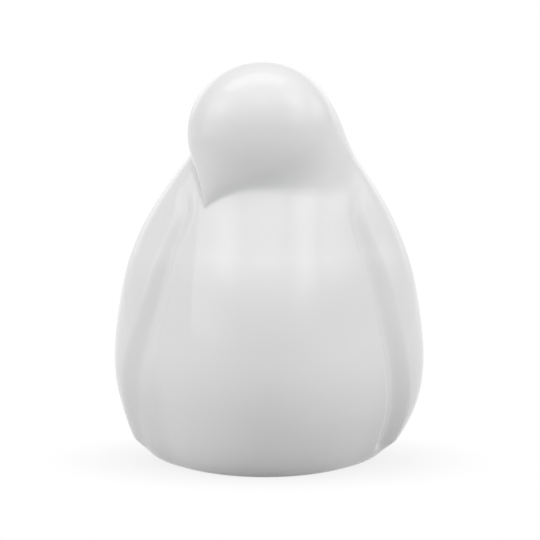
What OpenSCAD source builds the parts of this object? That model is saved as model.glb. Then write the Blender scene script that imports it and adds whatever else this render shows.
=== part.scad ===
// Small standing bird in glazed porcelain, cast in separate hollow parts that are
// joined with slip. It faces -Y with its head turned to its right and its beak
// resting on the breast. Millimetres, +Z up, origin on the table at the foot centre.

/* [Body] */
// Greatest width of the body casting
body_w = 75.6; // [66:0.2:84]
// Reach of the breast in front of the foot centre
breast_d = 46; // [41:0.5:50]
// Reach of the back behind the foot centre
back_d = 40.5; // [36:0.5:44]
// How far the breast is drawn in from an oval towards a pointed bow
keel = 0.9; // [0.5:0.05:1]
// Bearing from the front up to which the bow is full
keel_az = 45; // [30:1:60]
// Height at which the long lines of the body close inside the head
loft_h = 90; // [86:0.5:94]
// Sideways lean of the neck
neck_lean = 0.7; // [0:0.1:2]
// Forward lean of the neck
neck_fwd = 9; // [6:0.2:12]
// Sideways shift of the foot against the lean of the neck
foot_lean = 1; // [0:0.1:2]
// Height over which the shift of the foot dies away
foot_top = 16; // [10:0.5:24]
// Wall of the castings
wall = 4.6; // [4:0.1:5.5]

/* [Head] */
// Width of the head ball
head_w = 36.2; // [34:0.2:39]
// Height of the head ball
head_h = 35; // [33:0.2:38]
// Head centre to its right of the middle
head_side = 1.6; // [0:0.1:3]
// Head centre in front of the foot centre
head_fwd = 14.6; // [12:0.2:17]
// Height of the head centre
head_z = 81.2; // [79:0.2:84]
// Head centre to beak tip
beak_len = 24.03; // [22:0.01:26]
// Turn of the beak to its right
beak_turn = 54.6; // [46:0.1:62]
// Dip of the beak below level
beak_dip = 45.9; // [40:0.1:52]
// Softness of the crease under the beak
crease_r = 1.2; // [0.6:0.1:2.5]
// Softness of the nape and of the cheek away from the beak
nape_r = 8; // [5:0.5:10]
// Bearing from the beak at which the crease begins to soften
crease_az = 25; // [15:1:40]
// Bearing from the beak at which the joint is fully soft
nape_az = 115; // [80:1:140]

/* [Wings] */
// Bearing of the wrist from the front
wrist_az = 39.5; // [34:0.5:44]
// Height of the wrist
wrist_z = 62.5; // [58:0.5:65]
// Backward sweep of the leading edge from wrist to foot
lead_sweep = 24; // [16:1:30]
// Backward turn of the edge above the wrist, degrees per millimetre
wrist_cut = 2.2; // [1.2:0.1:2.6]
// Bearing of the trailing edge from the front, low on the back
trail_az = 157; // [148:1:160]
// Forward sweep of the trailing edge from there up to the shoulder
trail_sweep = 45; // [30:1:55]
// Height of the upper end of a wing
wing_top = 71; // [68:0.5:74]
// Height of the lower end of a wing
wing_low = 2.6; // [1.6:0.1:4]
// Depth of the seat a wing is let into
wing_seat = 2.6; // [2.2:0.1:3]
// Rise of the rounded lip on the leading edge
lip_h = 0.1; // [0:0.05:0.6]
// Distance from the edge to the crest of the lip
lip_w = 1; // [0.6:0.1:1.6]
// Depth of the hollow behind the lip
groove_d = 1.2; // [0.5:0.1:1.8]
// Distance from the edge to the bottom of the hollow
groove_at = 3.6; // [2.5:0.1:5]
// Rise of the wing behind the hollow
bulge_h = 1.2; // [0.4:0.1:1.8]
// Distance from the edge to the full rise
bulge_at = 9.5; // [8:0.5:16]
// Size of the relief at the wrist as a share of its size lower down
wrist_share = 0.4; // [0.2:0.05:1]
// Height below which the relief has its full size
full_z = 44; // [30:1:54]
// Height at which the hollow of the right wing begins to flatten towards the foot
level_top = 46; // [36:1:56]
// Height at which the hollow of the right wing has run out
level_low = 17; // [10:1:26]
// How much wider the right wing's rise is spread where its hollow has run out
level_spread = 1.4; // [1:0.1:2]
// Length over which the relief rises from the lower end
foot_fade = 3; // [2:0.5:8]
// Length over which the lip sinks into the shoulder
lip_fade = 6; // [3:0.5:10]
// Length over which the rise behind the lip sinks into the shoulder
bulge_fade = 14; // [8:1:24]

/* [Tail] */
// Reach of the tail beyond the back
tail_len = 8; // [5:0.5:12]
// Width of the tail at the root
tail_w = 23; // [16:0.5:25]
// Lower end of the tail root
tail_low = 7; // [5:0.5:10]
// Upper end of the tail root
tail_top = 33; // [26:0.5:38]
// Thickness of the tail along its rim
tail_edge = 0.4; // [0.3:0.1:1]
// Droop of the tail for each millimetre of reach
tail_droop = 0.25; // [0:0.05:0.5]
// Share of the root width that the tail loses towards its upper end
tail_taper = 0.35; // [0.2:0.05:0.6]

/* [Foot] */
// Height of the porcelain rim above the table
rim_z = 0.4; // [0.2:0.1:1]
// Opening in the foot that the base plate closes
ring_d = 40; // [36:0.5:42]
// Width of the ledge that the base plate rests against
ledge_w = 2; // [1.5:0.1:3]
// Thickness of the base plate
base_t = 4; // [3:0.25:5]
// Recess of the base plate in the foot
recess = 0.8; // [0.5:0.1:1.5]
// Vent hole that lets the casting breathe in the kiln
vent_d = 8; // [5:0.5:10]
// Clearance all round between the base plate and the foot
base_fit = 0.2; // [0.15:0.05:0.4]
// Bare ring between the felt disc and the foot
felt_gap = 2.5; // [1:0.1:4]
// Slip layer between joined castings
slip = 0.1; // [0.05:0.05:0.2]

/* [Hidden] */

// Long lines of the body from foot to neck, as shares of width, breast and back reach
width_line = [0.262, 0.301, 0.386, 0.445, 0.5, 0.476, 0.413, 0.131, -0.353];
breast_line = [0.668, 0.693, 0.784, 0.898, 1.017, 0.989, 0.818, -0.181, 0.571];
back_line = [0.506, 0.556, 0.691, 0.864, 1.012, 0.975, 0.815, 0.111, -1.16];
// Share of the bow from foot to neck
keel_line = [0.2, 0.3, 0.7, 1.0, 1.0, 1.0, 0.9, 0.5, 0.1];

hc = [-head_side, -head_fwd, head_z];
head_r = head_w / 2;
squash = head_h / head_w;
beak = [-sin(beak_turn) * cos(beak_dip), -cos(beak_turn) * cos(beak_dip), -sin(beak_dip)];
tip = hc + beak_len * [beak[0], beak[1], beak[2] * squash];
tip_az = bearing(tip);
felt_t = rim_z + recess;
base_z = felt_t;
ledge_z = base_z + base_t;
floor_z = ledge_z + wall;
ring_r = ring_d / 2;
ledge_r = ring_r - ledge_w;

// Rounding of the wrist, width of the trailing step in degrees, and the furthest back
// that the columns follow the leading edge
wrist_r = 2;
trail_step = 6;
edge_max = 60;
// Depth below the end of the long lines at which the body closes as a cap
cap = 4;
// Least height of the neck rows under the seam
neck_row = 2.5;

function ease(a, b, x) = let (t = max(0, min(1, (x - a) / (b - a)))) t * t * (3 - 2 * t);
function mix(a, b, t) = a + (b - a) * t;
function swell(t) = (1 - cos(180 * t)) / 2;
function unit(v) = v / norm(v);

// Smooth line through a list of shares, w from 0 to 1
function line(c, w) = let (n = len(c) - 3, s = max(0, min(1, w)) * n, i = min(floor(s), n - 1), t = s - i)
    ((1 - t)^3 * c[i] + (3 * t^3 - 6 * t^2 + 4) * c[i + 1]
    + (-3 * t^3 + 3 * t^2 + 3 * t + 1) * c[i + 2] + t^3 * c[i + 3]) / 6;

// Radius of the body at bearing az and height z, an oval drawn in towards a bow at the breast
function sec(az, z) = let (
    w = sqrt(max(0, z) / loft_h),
    a = max(1, body_w * line(width_line, w)),
    f = max(1, breast_d * line(breast_line, w)),
    b = max(1, back_d * line(back_line, w)),
    d = (f + b) / 2 + (f - b) / 2 * cos(az),
    s = sin(az) / a,
    c = cos(az) / d,
    oval = 1 / sqrt(s * s + c * c),
    bow = 2 / (abs(c) + sqrt(c * c + 4 * s * s)),
    side = abs((az + 900) % 360 - 180))
    oval + keel * line(keel_line, w) * (1 - ease(keel_az, 90, side)) * (bow - oval);
function slant(az, z) = let (d = (sec(az, z + 0.05) - sec(az, z - 0.05)) / 0.1) 1 / sqrt(1 + d * d);
// Axis of the body: the neck leans aside and forward, the foot to the other side
function lean(z) = [neck_lean * ease(0.6 * head_z, head_z, z) - foot_lean * (1 - ease(0, foot_top, z)),
    -neck_fwd * ease(0.65 * head_z, head_z, z), z];
function bearing(p) = let (v = p - lean(p[2])) atan2(v[0], -v[1]);
function out(az) = [sin(az), -cos(az), 0];
function skin(az, z, gap) = lean(z) + (sec(az, z) + gap / slant(az, z)) * out(az);

// Distance of a point from the body and from the head with its beak cone
function body_gap(p) = let (z = min(p[2], loft_h - cap), az = bearing(p))
    (norm(p - lean(p[2])) - sec(az, z)) * slant(az, z) + max(0, p[2] - z);
function ball(d) = let (al = acos(max(-1, min(1, d * beak))), a0 = acos(head_r / beak_len))
    head_r / cos(max(0, a0 - al));
function head_gap(p) = let (v = [p[0] - hc[0], p[1] - hc[1], (p[2] - hc[2]) / squash], n = norm(v))
    n - ball(v / n);
// Softness of the joint, small round the beak and large at the nape
function soft(az) = let (d = abs((az + beak_turn + 900) % 360 - 180))
    crease_r + (nape_r - crease_r) * ease(crease_az, nape_az, d);
function joined(p) = let (b = body_gap(p), h = head_gap(p), k = soft(bearing(p)))
    min(b, h) - max(k - abs(b - h), 0)^2 / (4 * k);

// Leading edge of a wing and the relief of the wing on the flank
function lead_az(z) = let (u = z - wrist_z) wrist_az
    + lead_sweep * max(0, 1 - max(0, z) / wrist_z)^1.4 + wrist_cut * (u + norm([u, wrist_r])) / 2;
function trail(z) = trail_az - trail_sweep * (min(max(0, z), wing_top) / wing_top)^3;
function dip(far) = ease(0, 1, max(0, min(1, (far - lip_w) / (groove_at - lip_w)))^0.7);
function relief(az, z, s) = let (
    back = trail(z),
    size = 1 - (1 - wrist_share) * ease(full_z, wrist_z, z),
    q = (az - lead_az(z)) * PI / 180 * sec(az, z),
    deep = s == 0 ? 1 : ease(level_low, level_top, z),
    far = 3 * q / (2 + size) / mix(level_spread, 1, deep),
    lip = deep * ease(0, lip_w, q) * (1 - dip(far)),
    gro = dip(far) * (1 - ease(groove_at, bulge_at, far)),
    bul = ease(groove_at, bulge_at, far))
    ease(wing_low, wing_low + foot_fade, z) * (1 - ease(back - trail_step, back, az))
    * (lip_h * lip * (1 - ease(wing_top - lip_fade, wing_top, z))
    + size * (bulge_h * bul - deep * groove_d * gro) * (1 - ease(wing_top - bulge_fade, wing_top, z)));

// Columns round the body: breast in two runs that meet at the beak, wing, back, wing
n_beak = 6;
n_breast = 16;
n_wing = 15;
n_back = 10;
n_front = n_beak + n_breast;
n_col = n_front + 2 * n_wing + n_back;
function edge_az(z) = min(lead_az(z), edge_max);
function col_az(j, z) = let (
    e = edge_az(z), b = trail(z), k1 = j - n_front, k2 = k1 - n_wing, k3 = k2 - n_back)
    j < n_beak ? mix(-e, tip_az, j / n_beak)
    : j < n_front ? mix(tip_az, e, (j - n_beak) / n_breast)
    : k2 < 0 ? mix(e, b, swell(k1 / n_wing))
    : k3 < 0 ? mix(b, 360 - b, k2 / n_back)
    : mix(360 - b, 360 - e, swell(k3 / n_wing));

// Seam between body and head, where both are equally near
function seam_z(j, lo, hi, n) = n == 0 ? (lo + hi) / 2 : let (
    m = (lo + hi) / 2, az = col_az(j, m), d = soft(az) / 4)
    head_gap(skin(az, m, d)) > d ? seam_z(j, m, hi, n - 1) : seam_z(j, lo, m, n - 1);
SEAM = [for (j = [0:n_col - 1]) seam_z(j, head_z - 2 * head_r, loft_h - cap / 2, 22)];

function fill(az, z, lo, hi, n) = n == 0 ? (lo + hi) / 2 : let (m = (lo + hi) / 2)
    joined(skin(az, z, m)) < 0 ? fill(az, z, m, hi, n - 1) : fill(az, z, lo, m, n - 1);
// Finished outside of the body with the soft joint to the head filled in
function face(az, z) = let (k = soft(az), h = head_gap(skin(az, z, 0)))
    h > k ? skin(az, z, 0) : skin(az, z, fill(az, z, 0, k / 4, 14));

// Rows up the body: the wing rows first, then the neck
n_low = 22;
n_neck = 5;
n_row = n_low + n_neck;
wing_row = 2;
function row_z(i, j) = let (t = min(wing_top, SEAM[j] - neck_row), k = (i - n_low) / n_neck)
    i < wing_row ? mix(rim_z, wing_low, i / wing_row)
    : i <= n_low ? mix(wing_low, t, ((i - wing_row) / (n_low - wing_row))^1.5)
    : mix(t, SEAM[j], 1 - (1 - k)^2);
function body_pt(i, j) = let (z = row_z(i, j), az = col_az(j, z))
    i == n_row ? skin(az, z, soft(az) / 4) : face(az, z);
function inner_r(az, z) = max(2, sec(az, z) - wall / slant(az, z));
function cavity_pt(j, t) = let (z = mix(floor_z, SEAM[j], t), az = col_az(j, z))
    lean(z) + inner_r(az, z) * out(az);
function ring_pt(j, r, z) = let (az = col_az(j, rim_z)) [r * sin(az), -r * cos(az), z];

n_cav = 9;
LOOPS = concat(
    [for (i = [0:n_row]) [for (j = [0:n_col - 1]) body_pt(i, j)]],
    [for (i = [0:n_cav]) [for (j = [0:n_col - 1]) cavity_pt(j, 1 - (i / n_cav)^1.3)]],
    [[for (j = [0:n_col - 1]) ring_pt(j, ledge_r, floor_z)],
     [for (j = [0:n_col - 1]) ring_pt(j, ledge_r, ledge_z)],
     [for (j = [0:n_col - 1]) ring_pt(j, ring_r, ledge_z)],
     [for (j = [0:n_col - 1]) ring_pt(j, ring_r, rim_z)]]);
n_loop = len(LOOPS);
function flat(l) = [for (a = l) for (b = a) b];
function quad(a, b, c, d) = [[a, b, c], [a, c, d]];

// First column of the wing on the +X side and of the wing on the -X side
WING = [n_front, n_front + n_wing + n_back];
function seated(i, j) = i >= wing_row && i < n_low
    && ((j >= WING[0] && j < WING[0] + n_wing) || j >= WING[1]);
function seat_pt(i, j) = let (z = row_z(i, j % n_col), az = col_az(j % n_col, z))
    LOOPS[i][j % n_col] - wing_seat * out(az);

module body() {
    w1 = n_wing + 1;
    base = n_loop * n_col;
    seats = [for (s = [0, 1]) for (i = [wing_row:n_low]) for (k = [0:n_wing]) seat_pt(i, WING[s] + k)];
    rows = n_low - wing_row;
    function pt(i, j) = (i % n_loop) * n_col + j % n_col;
    function st(s, i, k) = base + s * (rows + 1) * w1 + (i - wing_row) * w1 + k;
    plain = [for (i = [0:n_loop - 1]) for (j = [0:n_col - 1]) if (!seated(i, j))
        each quad(pt(i, j), pt(i + 1, j), pt(i + 1, j + 1), pt(i, j + 1))];
    sunk = [for (s = [0, 1]) for (i = [wing_row:n_low - 1]) for (k = [0:n_wing - 1])
        each quad(st(s, i, k), st(s, i + 1, k), st(s, i + 1, k + 1), st(s, i, k + 1))];
    ends = [for (s = [0, 1]) for (k = [0:n_wing - 1]) let (j = WING[s] + k) each concat(
        quad(pt(wing_row, j), st(s, wing_row, k), st(s, wing_row, k + 1), pt(wing_row, j + 1)),
        quad(st(s, n_low, k), pt(n_low, j), pt(n_low, j + 1), st(s, n_low, k + 1)))];
    sides = [for (s = [0, 1]) for (i = [wing_row:n_low - 1]) let (a = WING[s], b = a + n_wing) each concat(
        quad(pt(i, a), pt(i + 1, a), st(s, i + 1, 0), st(s, i, 0)),
        quad(st(s, i, n_wing), st(s, i + 1, n_wing), pt(i + 1, b), pt(i, b)))];
    color([0.93, 0.93, 0.92])
        polyhedron(concat(flat(LOOPS), seats), concat(plain, sunk, ends, sides), convexity = 6);
}

// Head casting: columns run from the crown to the seam, outside then inside
n_crown = 20;
n_inside = 6;
crown = unit([0.25, 0.35, 1]);
function egg(d) = let (e = [d[0], d[1], d[2] / squash], n = norm(e)) ball(e / n) / n;
function rise(d, lo, hi, n) = n == 0 ? (lo + hi) / 2 : let (m = (lo + hi) / 2)
    joined(hc + m * d) < 0 ? rise(d, m, hi, n - 1) : rise(d, lo, m, n - 1);
function arc(d, t) = let (c = crown * d, a = acos(c) * t, e = unit(d - c * crown))
    cos(a) * crown + sin(a) * e;
function head_out(j, i) = let (
    z = SEAM[j], az = col_az(j, z), s = skin(az, z, soft(az) / 4) - hc, d0 = unit(s),
    t = 1 - (1 - i / n_crown)^1.5, cut = slip / (head_r * acos(crown * d0) * PI / 180),
    d = arc(d0, min(t, 1 - cut)), r = egg(d))
    hc + rise(d, r * 0.999, r + nape_r / 2, 15) * d;
function head_in(j, i) = let (
    s = cavity_pt(j, 1) + [0, 0, slip] - hc, t = i / n_inside, d = arc(unit(s), t))
    hc + mix(head_r * squash - wall, norm(s), ease(0, 1, t)) * d;
module head() {
    pts = concat([hc + egg(crown) * crown],
        [for (i = [1:n_crown]) for (j = [0:n_col - 1]) head_out(j, i)],
        [for (i = [n_inside:-1:1]) for (j = [0:n_col - 1]) head_in(j, i)],
        [hc + (head_r * squash - wall) * crown]);
    n = n_crown + n_inside;
    last = n * n_col + 1;
    function pt(i, j) = 1 + i * n_col + j % n_col;
    faces = concat(
        [for (j = [0:n_col - 1]) [0, pt(0, j + 1), pt(0, j)]],
        [for (i = [0:n - 2]) for (j = [0:n_col - 1])
            each quad(pt(i, j), pt(i, j + 1), pt(i + 1, j + 1), pt(i + 1, j))],
        [for (j = [0:n_col - 1]) [last, pt(n - 1, j), pt(n - 1, j + 1)]]);
    color([0.95, 0.95, 0.94]) polyhedron(pts, faces, convexity = 6);
}

// Closed plate between an outer and an inner grid of points with m rows and n columns
module plate(outer, inner, m, n) {
    h = m * n;
    function o(i, j) = i * n + j;
    cells = [for (i = [0:m - 2]) for (j = [0:n - 2]) each concat(
        quad(o(i, j), o(i + 1, j), o(i + 1, j + 1), o(i, j + 1)),
        quad(h + o(i, j), h + o(i, j + 1), h + o(i + 1, j + 1), h + o(i + 1, j)))];
    ends = [for (j = [0:n - 2]) each concat(
        quad(o(0, j), o(0, j + 1), h + o(0, j + 1), h + o(0, j)),
        quad(o(m - 1, j + 1), o(m - 1, j), h + o(m - 1, j), h + o(m - 1, j + 1)))];
    sides = [for (i = [0:m - 2]) each concat(
        quad(o(i + 1, 0), o(i, 0), h + o(i, 0), h + o(i + 1, 0)),
        quad(o(i, n - 1), o(i + 1, n - 1), h + o(i + 1, n - 1), h + o(i, n - 1)))];
    polyhedron(concat(outer, inner), concat(cells, ends, sides), convexity = 4);
}

// Wing casting in its seat; s is 0 for the +X side and 1 for the -X side
function wing_pt(s, i, k, up) = let (
    j = (WING[s] + k) % n_col,
    z = row_z(i, j) + (i == wing_row ? slip : i == n_low ? -slip : 0),
    a0 = col_az(j, z), a = a0 < 0 ? a0 + 360 : a0, b = s == 0 ? a : 360 - a,
    in = slip / sec(b, z) * 180 / PI,
    c = max(edge_az(z) + in, min(trail(z) - in, b)),
    az = s == 0 ? c : 360 - c)
    face(az, z) + (up ? relief(c, z, s) : slip - wing_seat) * out(az);
module wing(s) {
    rows = [wing_row:n_low];
    plate([for (i = rows) for (k = [0:n_wing]) wing_pt(s, i, k, true)],
        [for (i = rows) for (k = [0:n_wing]) wing_pt(s, i, k, false)], n_low - wing_row + 1, n_wing + 1);
}
module left_wing() color([0.90, 0.91, 0.91]) wing(0);
module right_wing() color([0.90, 0.91, 0.91]) wing(1);

// Tail, a short rounded wedge on the back between the wings
n_tail = 14;
function tail_pt(i, k, up) = let (
    v = i / n_tail, u = k / n_tail, z = mix(tail_low, tail_top, v),
    half = tail_w / 2 / sec(180, z) * 180 / PI * (1 - tail_taper * v * v),
    az = 180 + (2 * u - 1) * half,
    side = sin(180 * u)^0.6, lift = sin(180 * sqrt(v))^1.1,
    reach = tail_len * side * lift * [0, 1, -tail_droop])
    skin(az, z, slip) + (up ? reach + tail_edge * out(az) : [0, 0, 0]);
module tail() color([0.88, 0.89, 0.89]) {
    n = [0:n_tail];
    plate([for (i = n) for (k = n) tail_pt(i, k, true)],
        [for (i = n) for (k = n) tail_pt(i, k, false)], n_tail + 1, n_tail + 1);
}

module base() color([0.82, 0.80, 0.76]) difference() {
    translate([0, 0, base_z]) cylinder(r = ring_r - base_fit, h = base_t, $fn = 96);
    translate([0, 0, base_z - 1]) cylinder(d = vent_d, h = base_t + 2, $fn = 48);
}

module felt_pad() color([0.25, 0.26, 0.27]) cylinder(r = ring_r - felt_gap, h = felt_t, $fn = 96);

body();
head();
left_wing();
right_wing();
tail();
base();
felt_pad();
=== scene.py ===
# %% [markdown]
# # A bird in glazed porcelain
#
# The bird is a small ornament, about a hand's breadth tall. Its body, head, wings and tail
# are cast apart in porcelain, joined with slip and covered by one clear glaze, so the joints
# show only as soft creases. It could be sculpted by hand, but every line on it is a smooth
# one, so here each form is a formula on a grid, worked out in millimetres.

import bpy
import numpy as np
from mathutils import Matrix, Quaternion, Vector


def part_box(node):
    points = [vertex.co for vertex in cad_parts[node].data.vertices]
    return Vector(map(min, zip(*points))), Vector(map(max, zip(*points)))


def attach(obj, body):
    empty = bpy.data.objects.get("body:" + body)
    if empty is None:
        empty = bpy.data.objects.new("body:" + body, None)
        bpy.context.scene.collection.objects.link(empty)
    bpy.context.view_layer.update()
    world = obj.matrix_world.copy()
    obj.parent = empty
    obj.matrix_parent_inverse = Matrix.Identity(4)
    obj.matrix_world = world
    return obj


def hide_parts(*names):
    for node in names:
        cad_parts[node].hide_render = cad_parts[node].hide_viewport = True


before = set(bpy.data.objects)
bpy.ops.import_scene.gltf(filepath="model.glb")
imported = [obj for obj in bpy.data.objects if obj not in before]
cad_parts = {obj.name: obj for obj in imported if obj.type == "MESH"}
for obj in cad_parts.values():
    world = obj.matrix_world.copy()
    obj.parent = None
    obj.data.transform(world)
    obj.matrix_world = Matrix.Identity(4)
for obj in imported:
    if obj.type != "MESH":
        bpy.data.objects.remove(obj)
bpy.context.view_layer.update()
MM = 0.001
print("solids:", sorted(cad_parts))

# %% [markdown]
# ## The body
#
# The body is plump, with its widest part low down and a foot half as wide. Each level is an
# egg shape given by three sizes: half width, reach of the breast and reach of the back.
# These three run from foot to neck along smooth B-spline lines, and the neck leans forward.
# In front the level is drawn towards a parabola, so the breast is fuller at its middle than an
# oval. A lathe profile would be shorter, but what the glaze mirrors shows that it isn't round.

# %% Long lines of the body
BODY_W = 75.4
BREAST_D = 45.9
BACK_D = 40.5
LOFT_H = 90.0
LEAST_R = 1.0
KEEL = 0.9
KEEL_AZ = np.radians(45.0)
KEEL_LINE = np.array([0.2, 0.3, 0.7, 1.0, 1.0, 1.0, 0.9, 0.5, 0.1])
WIDTH_LINE = np.array([0.262, 0.301, 0.386, 0.445, 0.5, 0.476, 0.413, 0.131, -0.353])
BREAST_LINE = np.array([0.668, 0.693, 0.784, 0.898, 1.017, 0.989, 0.818, -0.181, 0.571])
BACK_LINE = np.array([0.506, 0.556, 0.691, 0.864, 1.012, 0.975, 0.815, 0.111, -1.16])


def ease(a, b, x):
    """Smooth step from 0 at a to 1 at b: 3t^2 - 2t^3 of the share t of the way."""
    t = np.clip((x - a) / (b - a), 0.0, 1.0)
    return t * t * (3.0 - 2.0 * t)


def spline(shares, w):
    """Uniform cubic B-spline over a row of shares, w from 0 to 1."""
    spans = len(shares) - 3
    s = np.clip(w, 0.0, 1.0) * spans
    i = np.minimum(np.floor(s).astype(int), spans - 1)
    t = s - i
    return ((1 - t) ** 3 * shares[i] + (3 * t**3 - 6 * t**2 + 4) * shares[i + 1]
            + (-3 * t**3 + 3 * t**2 + 3 * t + 1) * shares[i + 2] + t**3 * shares[i + 3]) / 6


def body_radius(az, z):
    """Radius at bearing az and height z: an ellipse, drawn in towards a parabola at the breast."""
    w = np.sqrt(np.clip(z, 0.0, None) / LOFT_H)
    a = np.maximum(LEAST_R, BODY_W * spline(WIDTH_LINE, w))
    f = np.maximum(LEAST_R, BREAST_D * spline(BREAST_LINE, w))
    b = np.maximum(LEAST_R, BACK_D * spline(BACK_LINE, w))
    d = (f + b) / 2 + (f - b) / 2 * np.cos(az)
    s = np.sin(az) / a
    c = np.cos(az) / d
    oval = 1.0 / np.hypot(s, c)
    bow = 2.0 / (np.abs(c) + np.sqrt(c * c + 4 * s * s))
    side = np.abs((az + np.pi) % (2 * np.pi) - np.pi)
    keel = KEEL * spline(KEEL_LINE, w) * (1 - ease(KEEL_AZ, np.pi / 2, side))
    return oval + keel * (bow - oval)


def slant(az, z, step=0.05):
    """Cosine of the wall's slope, which turns a level distance into a true one."""
    rise = (body_radius(az, z + step) - body_radius(az, z - step)) / (2 * step)
    return 1.0 / np.sqrt(1.0 + rise * rise)


print("half width at 32 mm:", round(float(body_radius(np.pi / 2, 32.0)), 1), "mm")

# %% Points on the body
HEAD_Z = 81.2
LEAN_FROM = 0.6 * HEAD_Z
FWD_FROM = 0.65 * HEAD_Z
NECK_LEAN = 0.7
NECK_FWD = 9.0
FOOT_LEAN = 1.0
FOOT_TOP = 16.0
LOFT_CAP = 4.0
CAP_R = 2.6


def lean(z):
    """Shift of the axis in x and y: the neck leans aside and forward, the foot the other way."""
    aside = NECK_LEAN * ease(LEAN_FROM, HEAD_Z, z) - FOOT_LEAN * (1 - ease(0.0, FOOT_TOP, z))
    return aside, -NECK_FWD * ease(FWD_FROM, HEAD_Z, z)


def out(az):
    """Level unit vector at bearing az, which is 0 towards -Y and a quarter turn at +X."""
    az = np.asarray(az, float)
    return np.stack([np.sin(az), -np.cos(az), np.zeros_like(az)], -1)


def on_body(az, z, gap):
    """Point at bearing az and height z that stands gap away from the body's wall."""
    r = body_radius(az, z) + gap / slant(az, z)
    x, y = lean(z)
    return np.stack([x + r * np.sin(az), y - r * np.cos(az), z + 0.0 * r], -1)


def around(p):
    """Bearing and level distance of points from the leaning axis."""
    x, y = lean(p[..., 2])
    return np.arctan2(p[..., 0] - x, y - p[..., 1]), np.hypot(p[..., 0] - x, p[..., 1] - y)


def body_gap(p):
    """Distance of points from the body. The loft is closed by a flat cap in the head, over which
    the height counts instead of the narrowing wall, with a soft change from one to the other."""
    t = p[..., 2] - (LOFT_H - LOFT_CAP)
    over = np.maximum(0.0, t) + np.maximum(0.0, CAP_R - np.abs(t)) ** 2 / (4 * CAP_R)
    z = p[..., 2] - over
    az, r = around(p)
    return (r - body_radius(az, z)) * slant(az, z) + over


print("neck's shift at the head in mm:", np.round(lean(HEAD_Z), 1))

# %% [markdown]
# ## The head
#
# The head is a ball, slightly flattened, and the beak is the cone that touches that ball all
# round and ends at the tip. It turns to the bird's right and dips until the tip rests on the
# breast. Where head and body meet, slip and glaze fill the corner: hardly at all under the
# beak, and so much at the nape that no corner is left. A smooth minimum of the two distances
# does this, with a softness that grows with the bearing from the beak. A Boolean union with
# a bevel would give the same fillet all round.

# %% Head, beak and the soft joint
HEAD_W = 36.2
HEAD_H = 35.0
HEAD_C = np.array([-1.6, -14.6, HEAD_Z])
BEAK_LEN = 24.03
BEAK_TURN = np.radians(54.6)
BEAK_DIP = np.radians(45.9)
CREASE_R = 1.2
NAPE_R = 8.0
CREASE_AZ = np.radians(25.0)
NAPE_AZ = np.radians(115.0)

HEAD_R = HEAD_W / 2
FLAT = np.array([1.0, 1.0, HEAD_H / HEAD_W])
CROWN_Z = HEAD_Z + 0.9 * HEAD_R
BEAK = np.array([-np.sin(BEAK_TURN) * np.cos(BEAK_DIP),
                 -np.cos(BEAK_TURN) * np.cos(BEAK_DIP), -np.sin(BEAK_DIP)])
TIP = HEAD_C + BEAK_LEN * BEAK * FLAT
TIP_AZ = around(TIP)[0]


def unit(v):
    """Vectors scaled to length 1."""
    return v / np.linalg.norm(v, axis=-1, keepdims=True)


def ball(d):
    """Reach of head and beak cone along unit vectors d: R, or R / cos past the tangent."""
    angle = np.arccos(np.clip(d @ BEAK, -1.0, 1.0))
    return HEAD_R / np.cos(np.maximum(0.0, np.arccos(HEAD_R / BEAK_LEN) - angle))


def head_gap(p):
    """Distance of points from the head, measured in the space where it is a true ball."""
    v = (p - HEAD_C) / FLAT
    n = np.linalg.norm(v, axis=-1)
    return n - ball(v / n[..., None])


def softness(az):
    """Size of the fillet at bearing az, from the crease at the beak to the nape."""
    away = np.abs((az + BEAK_TURN + np.pi) % (2 * np.pi) - np.pi)
    return CREASE_R + (NAPE_R - CREASE_R) * ease(CREASE_AZ, NAPE_AZ, away)


def joined(p):
    """Distance from head and body as one form: their minimum, rounded within the softness. The
    rounding runs out towards the crown, which the capped neck would lift."""
    b = body_gap(p)
    h = head_gap(p)
    k = softness(around(p)[0])
    soft = 1 - ease(LOFT_H - LOFT_CAP, CROWN_Z, p[..., 2])
    return np.minimum(b, h) - soft * np.maximum(k - np.abs(b - h), 0.0) ** 2 / (4 * k)


print("beak tip in mm:", np.round(TIP, 1), round(float(body_gap(TIP)), 2), "off the breast")

# %% [markdown]
# ## The wings
#
# Each wing lies folded on the flank and shows by its leading edge: the wall turns over a
# soft lip and falls into a hollow, which rises again to the full flank. The edge runs up from
# the foot to the wrist and back over the shoulder. On the bird's left the hollow grows down to
# the foot, and on its right it runs out above it. It could be a bump map, but the hollow
# changes the reflections all along the flank, so it is real relief: the wall is pushed out or
# in, level, by a sum of smooth steps of the distance from the leading edge.

# %% Edges of the folded wings
WRIST_AZ = np.radians(39.5)
WRIST_Z = 62.5
WRIST_R = 2.0
LEAD_SWEEP = np.radians(24.0)
LEAD_POWER = 1.4
WRIST_CUT = np.radians(2.2)
TRAIL_AZ = np.radians(157.0)
TRAIL_SWEEP = np.radians(45.0)
WING_TOP = 71.0


def lead_az(z):
    """Bearing of the leading edge: swept back below the wrist, cut back sharply above it."""
    u = z - WRIST_Z
    sweep = LEAD_SWEEP * np.clip(1 - np.maximum(z, 0.0) / WRIST_Z, 0.0, 1.0) ** LEAD_POWER
    return WRIST_AZ + sweep + WRIST_CUT * (u + np.hypot(u, WRIST_R)) / 2


def trail_az(z):
    """Bearing of the trailing edge, which sweeps forward with the cube of the height."""
    return TRAIL_AZ - TRAIL_SWEEP * (np.clip(z, 0.0, WING_TOP) / WING_TOP) ** 3


edge_ends = np.degrees(lead_az(np.array([0.0, WRIST_Z])))
print("leading edge at the foot and the wrist:", np.round(edge_ends), "deg")

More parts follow.
